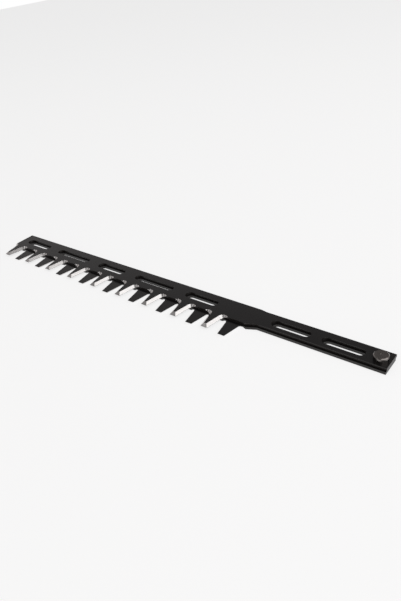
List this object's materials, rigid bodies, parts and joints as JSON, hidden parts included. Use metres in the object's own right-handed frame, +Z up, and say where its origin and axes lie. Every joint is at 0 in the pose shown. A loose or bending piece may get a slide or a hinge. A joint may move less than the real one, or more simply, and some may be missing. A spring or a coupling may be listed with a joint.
{
  "type": "reciprocating cutting blade set",
  "caption": "Pair of long toothed cutter blades laid face to face, with ground bevelled teeth, guide slots, a narrow shank and a round drive pin.",
  "frame": {"origin": "middle of the set's outline, on the plane that the lower blade lies on", "axes": "+X along the blades from the toothed end to the drive pin, +Y from the teeth to the plain back edge, +Z up through both blades to the drive pin's head"},
  "size_m": [0.4416, 0.0448, 0.009],
  "materials": {
    "coated_steel_upper": "satin",
    "coated_steel_lower": "satin",
    "turned_steel": "satin"
  },
  "bodies": {
    "root": {"upper_blade": "coated_steel_upper", "lower_blade": "coated_steel_lower", "drive_pin": "turned_steel"}
  },
  "joints": []
}
